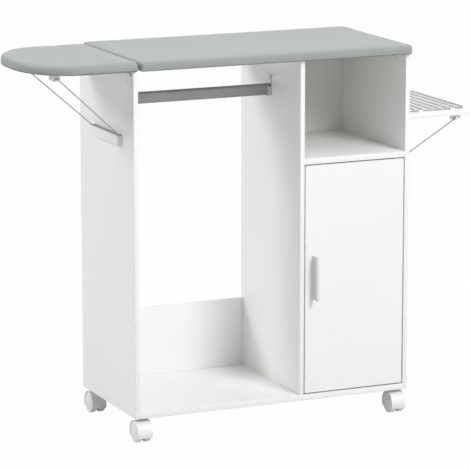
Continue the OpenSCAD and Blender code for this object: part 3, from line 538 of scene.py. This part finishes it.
cotton_finish = grey_cotton()
pads = [
    ("worktop_cover", worktop_outline, "main_pad", worktop_roll, worktop_voxel, "carcass"),
    ("fold_out_cover", nose_outline, "extension_pad", nose_roll, nose_voxel, "extension_leaf"),
]
for name, outline, node, roll, voxel, body in pads:
    pad = filled_pad(name, outline, node, roll, voxel)
    pad.data.materials.clear()
    pad.data.materials.append(cotton_finish)
    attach(pad, body)
    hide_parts(node)


# Moulded plastic
# The ledges that hold the stays, the clips, the corner blocks, the catch and the saddles of the
# wire rest are moulded white plastic with a fine matt grain, screwed on. The door's bushes are
# pressed into its edges.
# Depths below a ledge's top where its band of painted groove shade starts and where it is full.
groove_shade_start, groove_shade_full = 0.0022, 0.0014


def moulded_white(name, tone):
    plastic = Finish(name, IOR=1.49)
    clouds = plastic.noise(14, 2)
    pits = plastic.noise(1400, 2)
    darker = tuple(c * 0.93 for c in tone[:3]) + (1,)
    colour = plastic.mix(clouds, tone, darker)
    colour = plastic.mix(pits * 0.1, colour, shade(205, 205, 203))
    return plastic.coat(colour, 0.42 + clouds * 0.08, pits, 0.00003)


def ledge_with_painted_groove_shade(node):
    """Moulded white, with a dark grey band of painted shade along the top edge, where the bar of
    the stay lies in its groove.
    """
    ledge = Finish(node + "_finish", IOR=1.49)
    clouds = ledge.noise(14, 2)
    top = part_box(node)[1].z
    # Painted shade: the top edge turns dark grey where the stay's bar lies in the groove.
    rubbed_wear_and_painted_shade = ledge.rise(ledge.axes()[2], top - groove_shade_start, top - groove_shade_full) * (0.6 + clouds * 0.3)
    colour = ledge.mix(clouds, shade(243, 243, 241), shade(237, 237, 235))
    colour = ledge.mix(rubbed_wear_and_painted_shade, colour, shade(108, 110, 111))
    return ledge.coat(colour, 0.42 + clouds * 0.08, ledge.noise(1400, 2), 0.00003)


plastic_finish = moulded_white("moulded_white", shade(242, 242, 240))
clip_finish = moulded_white("clip_plastic", shade(236, 237, 236))
mouldings = {
    "corner_blocks": ("carcass", plastic_finish),
    "left_stay_ledge": ("carcass", ledge_with_painted_groove_shade("left_stay_ledge")),
    "right_stay_ledge": ("carcass", ledge_with_painted_groove_shade("right_stay_ledge")),
    "magnetic_catch": ("carcass", plastic_finish),
    "extension_clips": ("extension_leaf", clip_finish),
    "iron_shelf_clips": ("iron_leaf", clip_finish),
    "iron_rest_saddles": ("iron_leaf", plastic_finish),
    "door_bushes": ("door_leaf", plastic_finish),
}
for moulding, (body, finish) in mouldings.items():
    dressed(moulding, eased(moulding, width=0.0004, shortest=0.004), body, finish)


# Plated steel
# Hinge pins, castor plates, cam locks, pegs, the strike plate, the door's pivots and the rail's
# cradles are zinc plated, with a slightly blue, cloudy sheen. The hinge leaves are lacquered
# white over the plating. Pins and pegs are pressed in, the rest is screwed on.
def zinc_plate():
    zinc = Finish("zinc_plate", Metallic=1.0)
    clouds = zinc.noise(70, 4)
    scratches = zinc.noise(500, 2, zinc.stretched(0.08, 1, 1))
    colour = zinc.mix(clouds, shade(176, 179, 182), shade(203, 205, 207))
    rough = 0.26 + clouds * 0.16 + scratches * 0.1
    return zinc.coat(colour, rough, scratches, 0.00002)


def lacquered_steel():
    """White lacquer with small chips, where the plating shows through."""
    lacquer = Finish("lacquered_steel", IOR=1.5)
    clouds = lacquer.noise(30, 2)
    chips = lacquer.rise(lacquer.noise(420, 4), 0.66, 0.74)
    colour = lacquer.mix(clouds, shade(233, 233, 231), shade(238, 238, 237))
    colour = lacquer.mix(chips * 0.6, colour, shade(176, 178, 180))
    return lacquer.coat(colour, 0.3 + chips * 0.2, lacquer.noise(700, 2), 0.00002)


zinc_finish = zinc_plate()
lacquer_finish = lacquered_steel()
plated = {
    "shelf_pins": ("carcass", zinc_finish),
    "cam_locks": ("carcass", zinc_finish),
    "rail_brackets": ("carcass", zinc_finish),
    "castor_plates": ("carcass", zinc_finish),
    "door_pivot_pins": ("carcass", zinc_finish),
    "extension_hinge_fixed_leaves": ("carcass", lacquer_finish),
    "iron_shelf_hinge_fixed_leaves": ("carcass", lacquer_finish),
    "extension_hinge_moving_leaves": ("extension_leaf", lacquer_finish),
    "extension_hinge_pins": ("extension_leaf", zinc_finish),
    "iron_shelf_hinge_moving_leaves": ("iron_leaf", lacquer_finish),
    "iron_shelf_hinge_pins": ("iron_leaf", zinc_finish),
    "strike_plate": ("door_leaf", zinc_finish),
}
for fitting, (body, finish) in plated.items():
    slot = "hinge_lacquer" if finish is lacquer_finish else "zinc_steel"
    dressed(fitting, eased(fitting, width=0.0002, shortest=0.003), body, finish)


# Hanging rail
# A drawn oval steel tube with satin grey lacquer, cut square and dropped into its two cradles.
def satin_grey():
    lacquer = Finish("satin_grey", Metallic=0.6, IOR=1.5)
    streaks = lacquer.noise(300, 2, lacquer.stretched(0.03, 1, 1))
    clouds = lacquer.noise(12, 2)
    colour = lacquer.mix(streaks * 0.6 + clouds * 0.4, shade(139, 141, 142), shade(159, 161, 162))
    return lacquer.coat(colour, 0.3 + streaks * 0.14, streaks, 0.00002)


rail_mesh = eased("hanging_rail", width=0.0002, shortest=0.05)
dressed("hanging_rail", rail_mesh, "carcass", satin_grey())


# Wire stays and wire rest
# Each stay is one bright wire bent to a bail, whose bar turns in its ledge and whose toes snap
# into clips. The rest on the iron shelf is a bent frame with thinner wires welded across it, and
# is screwed down on four saddles.
class Pattern(Graph):
    """A geometry graph with named sizes, worked out on a mesh and turned into plain mesh."""

    def __init__(self, name, sizes):
        self.tree = bpy.data.node_groups.new(name, "GeometryNodeTree")
        sockets = self.tree.interface
        for way in ("OUTPUT", "INPUT"):
            sockets.new_socket("Geometry", in_out=way, socket_type="NodeSocketGeometry")
        self.keys = {}
        for size in sizes:
            socket = sockets.new_socket(size, in_out="INPUT", socket_type="NodeSocketFloat")
            self.keys[size] = socket.identifier
        self.given = self.tree.nodes.new("NodeGroupInput")
        self.result = self.tree.nodes.new("NodeGroupOutput")

    def size(self, name):
        return Value(self, self.given.outputs[name])

    def close(self, geometry, material):
        real = self.node("GeometryNodeRealizeInstances", inputs={0: geometry})
        made = self.node("GeometryNodeSetMaterial", inputs={"Geometry": real, "Material": material})
        self.feed(self.result.inputs[0], made)

    def grown(self, name, mesh, sizes):
        """The pattern on that mesh as a new plain piece."""
        piece = bpy.data.objects.new(name, mesh)
        scene.collection.objects.link(piece)
        modifier = piece.modifiers.new("pattern", "NODES")
        modifier.node_group = self.tree
        for size, number in sizes.items():
            modifier[self.keys[size]] = number
        baked(piece)
        return piece


def bright_wire():
    wire = Finish("bright_wire", Metallic=1.0)
    drawn = wire.noise(240, 3)
    colour = wire.mix(drawn, shade(150, 152, 155), shade(190, 192, 194))
    return wire.coat(colour, 0.22 + drawn * 0.16, drawn, 0.00001)


def bent_wire(material):
    """Follows the edges of a path, rounds its bends and gives it a round section."""
    bend_steps, round_steps = 12, 20
    wire = Pattern("bent_wire", ("Wire radius", "Bend radius"))
    path = wire.node("GeometryNodeMeshToCurve", inputs={0: Value(wire, wire.given.outputs[0])})
    bend = wire.size("Bend radius")
    bends = {"Curve": path, "Count": bend_steps, "Radius": bend, "Limit Radius": True}
    path = wire.node("GeometryNodeFilletCurve", {"mode": "POLY"}, bends)
    circle = {"Resolution": round_steps, "Radius": wire.size("Wire radius")}
    section = wire.node("GeometryNodeCurvePrimitiveCircle", inputs=circle)
    ways = {"Curve": path, "Profile Curve": section, "Fill Caps": True}
    tube = wire.node("GeometryNodeCurveToMesh", inputs=ways)
    tube = wire.node("GeometryNodeSetShadeSmooth", inputs={"Geometry": tube, "Shade Smooth": True})
    wire.close(tube, material)
    return wire


def path_mesh(name, points, links):
    mesh = bpy.data.meshes.new(name)
    mesh.from_pydata(points, links, [])
    return mesh


def chain(count):
    """Links each of so many points to the next one."""
    return [(i, i + 1) for i in range(count - 1)]


wire_pattern = bent_wire(bright_wire())
stay_wire = 0.0015
stay_bend = 0.004
stay_toe = 0.014
stay_span = 0.189
stay_splay = 0.03


def bail(node, side):
    """The path of a stay: toe, leg, bar in the ledge, leg and toe. The legs spread to the toes."""
    low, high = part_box(node)
    bar_x, toe_x = (high.x, low.x) if side < 0 else (low.x, high.x)
    bar = (bar_x + side * stay_wire, low.z + stay_wire)
    end = (toe_x - side * stay_wire, high.z - stay_wire)
    middle, half = (low.y + high.y) / 2, stay_span / 2
    front = [(end, stay_toe - half - stay_splay), (end, -half - stay_splay), (bar, -half)]
    back = [(place, -y) for place, y in reversed(front)]
    return [(x, middle + y, z) for (x, z), y in front + back]


for node, body, side in (("left_stay", "left_wire_stay", -1), ("right_stay", "right_wire_stay", 1)):
    sizes = {"Wire radius": stay_wire, "Bend radius": stay_bend}
    path = bail(node, side)
    stay = wire_pattern.grown(node + "_wire", path_mesh(node, path, chain(len(path))), sizes)
    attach(stay, body)
    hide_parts(node)

rest_low, rest_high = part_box("iron_rest")
rest_wire = 0.002
rest_bend = 0.01
rest_thin_wire = 0.0015
rest_thin_count = 6
rest_z = (rest_low.z + rest_high.z) / 2
rest_x = (rest_low.x + rest_wire, rest_high.x - rest_wire)
rest_y = (rest_low.y + rest_wire, rest_high.y - rest_wire)
rest_ring = [(rest_x[i], rest_y[j], rest_z) for i, j in ((0, 0), (1, 0), (1, 1), (0, 1))]
rest_path = path_mesh("iron_rest_frame", rest_ring, chain(4) + [(3, 0)])
rest_sizes = {"Wire radius": rest_wire, "Bend radius": rest_bend}
rest = wire_pattern.grown("iron_rest_frame", rest_path, rest_sizes)
rest_pitch = (rest_x[1] - rest_x[0]) / (rest_thin_count + 1)
bar_places = [rest_x[0] + rest_pitch * (i + 1) for i in range(rest_thin_count)]
bar_ends = [(x, y, rest_z) for x in bar_places for y in rest_y]
bars = path_mesh("iron_rest_bars", bar_ends, [(2 * i, 2 * i + 1) for i in range(rest_thin_count)])
bar_sizes = {"Wire radius": rest_thin_wire, "Bend radius": 0.0}
rest_bars = wire_pattern.grown("iron_rest_bars", bars, bar_sizes)
for part in (rest, rest_bars):
    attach(part, "iron_leaf")
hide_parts("iron_rest")


# Door handle
# A slim pull of satin metal profile: a thin web stands on the door and carries a lip for the
# fingers, with a narrow foot. Two screws from inside the door hold it.
handle_lip = 0.006
handle_foot = 0.0025
handle_web = 0.0035
handle_edge = 0.0007


def satin_metal():
    metal = Finish("satin_metal", Metallic=0.2)
    brushed = metal.noise(900, 2, metal.stretched(1, 1, 0.03))
    colour = metal.mix(brushed, shade(210, 211, 212), shade(228, 229, 229))
    return metal.coat(colour, 0.3 + brushed * 0.12, brushed, 0.00002)


def profile_pull(node):
    """The profile seen from above, drawn out from the lower end of the handle to the upper one."""
    low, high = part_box(node)
    middle, half, web = (low.x + high.x) / 2, (high.x - low.x) / 2, handle_web / 2
    lip, foot = low.y + handle_lip, high.y - handle_foot
    side = [(half, low.y), (half, lip), (web, lip), (web, foot), (half, foot), (half, high.y)]
    outline = [(middle + x, y) for x, y in side] + [(middle - x, y) for x, y in reversed(side)]
    form = bmesh.new()
    lower = form.faces.new([form.verts.new((x, y, low.z)) for x, y in outline])
    drawn = bmesh.ops.extrude_face_region(form, geom=[lower])["geom"]
    upper = [part for part in drawn if isinstance(part, bmesh.types.BMVert)]
    bmesh.ops.translate(form, vec=(0, 0, high.z - low.z), verts=upper)
    bmesh.ops.recalc_face_normals(form, faces=form.faces)
    edges = form.edges[:]
    bmesh.ops.bevel(form, geom=edges, offset=handle_edge, segments=3, profile=0.5, affect="EDGES")
    return smoothed(form, node, sharp=40)


dressed("door_handle", profile_pull("door_handle"), "door_leaf", satin_metal())


# Castors
# Twin wheels of white plastic under a moulded hood, on a steel axle. The hood's stem turns in a
# zinc plated plate screwed under the bottom panel.
hood_finish = moulded_white("castor_hood_white", shade(246, 246, 246))


def wheel_plastic():
    """White plastic with a scuffed, slightly grey tread."""
    plastic = Finish("wheel_plastic", IOR=1.49)
    scuffs = plastic.rise(plastic.noise(120, 4), 0.45, 0.75)
    colour = plastic.mix(scuffs * 0.5, shade(240, 240, 240), shade(214, 214, 213))
    return plastic.coat(colour, 0.4 + scuffs * 0.2, plastic.noise(900, 2), 0.00003)


tread_finish = wheel_plastic()
for place in ("front_left", "front_right", "back_left", "back_right"):
    hood, axle, swivel = f"castor_{place}_hood", f"castor_{place}_axle", f"{place}_swivel"
    hood_mesh = eased(hood, width=0.0004, shortest=0.0005)
    dressed(hood, hood_mesh, swivel, hood_finish)
    axle_mesh = eased(axle, width=0.0003, shortest=0.0002)
    dressed(axle, axle_mesh, swivel, zinc_finish)
    for side in ("outer", "inner"):
        wheel, roller = f"castor_{place}_{side}_wheel", f"{place}_{side}_roller"
        wheel_mesh = eased(wheel, width=0.0003, shortest=0.0005)
        dressed(wheel, wheel_mesh, roller, tread_finish)


# Screws
# Small zinc plated wood screws with cross recesses hold the fittings, and two machine screws hold
# the handle. Those that show on the outside are lacquered white, as the hinge leaves are.
def screw_heads(material):
    """A low cone with a crossed recess at every point, turned to face the way the point says."""
    heads = Pattern("screw_heads", ("Head width", "Head height", "Recess width", "Recess depth"))
    width, height = heads.size("Head width"), heads.size("Head height")
    sizes = {"Radius Top": width * 0.3, "Radius Bottom": width * 0.5, "Depth": height}
    cone = heads.node("GeometryNodeMeshCone", inputs={"Vertices": 28, **sizes})
    slots = []
    length, narrow = width * 0.42, heads.size("Recess width")
    for x, y in ((length, narrow), (narrow, length)):
        box = {"X": x, "Y": y, "Z": heads.size("Recess depth") * 2}
        size = heads.node("ShaderNodeCombineXYZ", inputs=box)
        slot = heads.node("GeometryNodeMeshCube", inputs={"Size": size})
        lift = heads.node("ShaderNodeCombineXYZ", inputs={"Z": height})
        lifted = {"Geometry": slot, "Translation": lift}
        slots.append(heads.node("GeometryNodeTransform", inputs=lifted))
    cut = heads.tree.nodes.new("GeometryNodeMeshBoolean")
    heads.feed(cut.inputs["Mesh 1"], cone)
    for slot in slots:
        heads.feed(cut.inputs["Mesh 2"], slot)
    vector = {"data_type": "FLOAT_VECTOR"}
    facing = heads.node("GeometryNodeInputNamedAttribute", vector, {"Name": "facing"})
    turned = heads.node("FunctionNodeAlignRotationToVector", {"axis": "Z"}, {"Vector": facing})
    points = Value(heads, heads.given.outputs[0])
    ways = {"Points": points, "Instance": Value(heads, cut.outputs[0]), "Rotation": turned}
    heads.close(heads.node("GeometryNodeInstanceOnPoints", inputs=ways), material)
    return heads


def islands(form):
    """The points of each separate solid of a form."""
    seen = set()
    found = []
    for start in form.verts:
        if start in seen:
            continue
        seen.add(start)
        island, todo = [], [start]
        while todo:
            vertex = todo.pop()
            island.append(vertex.co.copy())
            for edge in vertex.link_edges:
                other = edge.other_vert(vertex)
                if other not in seen:
                    seen.add(other)
                    todo.append(other)
        found.append(island)
    return found


def head_seat(screw):
    """Where a screw is widest, on its axis, and which way it faces there, from all its points."""
    low = Vector([min(p[i] for p in screw) for i in range(3)])
    high = Vector([max(p[i] for p in screw) for i in range(3)])
    axis = max(range(3), key=lambda i: (high - low)[i])
    along = Vector([float(i == axis) for i in range(3)])
    middle = (low + high) / 2
    widest = max(screw, key=lambda p: (p - middle - along * (p - middle)[axis]).length)
    seat = middle.copy()
    seat[axis] = widest[axis]
    return seat, along * math.copysign(1, widest[axis] - middle[axis])


def screw_places(node):
    """The seat and the facing of each screw's head in a CAD node that holds only screws."""
    form = bmesh.new()
    form.from_mesh(frame["nodes"][node].data)
    bmesh.ops.remove_doubles(form, verts=form.verts, dist=1e-6)
    places = [head_seat(screw) for screw in islands(form)]
    form.free()
    return places


def shows_outside(place):
    """Whether a screw sits on the outer face of a side panel or under a folding board."""
    low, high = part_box("left_side_panel")[0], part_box("right_side_panel")[1]
    return not low.x + 0.001 < place.x < high.x - 0.001


zinc_heads, white_heads = screw_heads(zinc_finish), screw_heads(lacquer_finish)
screw_sizes = {
    "Head width": 0.006,
    "Head height": 0.0016,
    "Recess width": 0.0007,
    "Recess depth": 0.0009,
}
screws = {
    "cabinet_screws": "carcass",
    "extension_screws": "extension_leaf",
    "iron_shelf_screws": "iron_leaf",
    "door_screws": "door_leaf",
}
for node, body in screws.items():
    shown, hidden = [], []
    for place, way in screw_places(node):
        (shown if shows_outside(place) else hidden).append((place, way))
    kinds = (
        ("white", white_heads, shown, "hinge_lacquer"),
        ("zinc", zinc_heads, hidden, "zinc_steel"),
    )
    for name, heads, kind, slot in kinds:
        if not kind:
            continue
        mesh = path_mesh(node, [place for place, way in kind], [])
        facing = mesh.attributes.new("facing", "FLOAT_VECTOR", "POINT")
        for item, (place, way) in zip(facing.data, kind):
            item.vector = way
        piece = heads.grown(f"{node}_{name}", mesh, screw_sizes)
        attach(piece, body)
        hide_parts(node)
